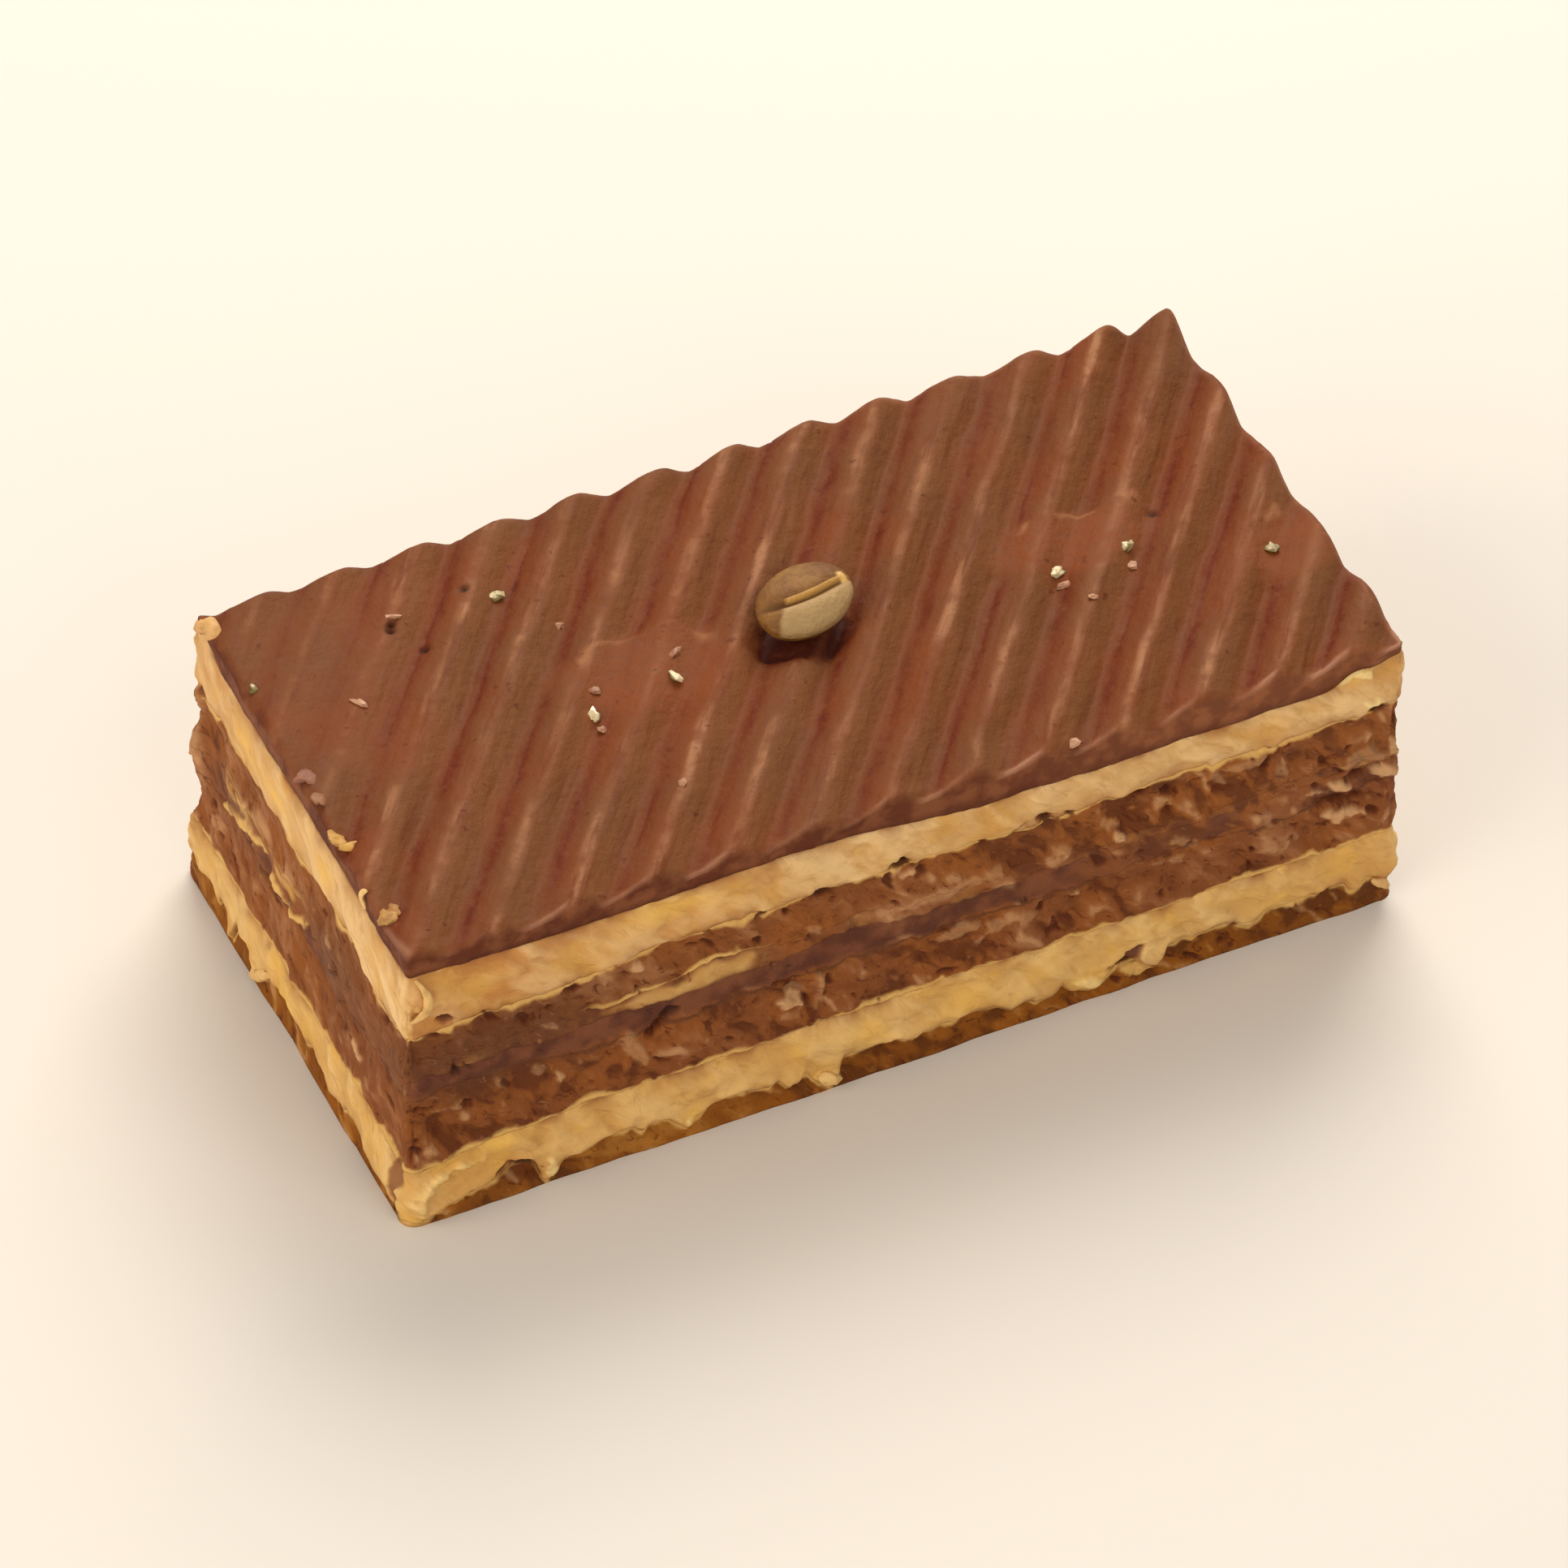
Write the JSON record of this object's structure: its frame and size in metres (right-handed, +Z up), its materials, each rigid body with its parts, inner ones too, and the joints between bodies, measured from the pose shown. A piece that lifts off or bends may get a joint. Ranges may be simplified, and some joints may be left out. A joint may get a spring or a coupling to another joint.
{
  "type": "layered chocolate cake slice",
  "caption": "Rectangular slice of layered chocolate cake: cocoa sponge, coffee cream and dark ganache under a combed chocolate glaze, topped with a coffee bean.",
  "frame": {"origin": "middle of the slice's footprint, on the surface that it stands on", "axes": "+X along the slice's length, +Y towards its back long side, +Z up"},
  "size_m": [0.1022, 0.0505, 0.0381],
  "materials": {
    "base_sponge": "dark cocoa sponge, crumbly",
    "lower_cream": "coffee cream, soft satin",
    "sponge": "cocoa sponge, crumbly",
    "ganache": "dark ganache, satin",
    "middle_cream": "coffee cream, soft satin",
    "upper_cream": "coffee cream, soft satin",
    "glaze": "chocolate glaze, satin",
    "bean": "pale roasted bean, satin"
  },
  "bodies": {
    "root": {"base_sponge": "base_sponge", "lower_cream": "lower_cream", "lower_sponge": "sponge", "dark_ganache": "ganache", "middle_cream": "middle_cream", "upper_sponge": "sponge", "upper_cream": "upper_cream", "glaze": "glaze", "coffee_bean": "bean"}
  },
  "joints": []
}
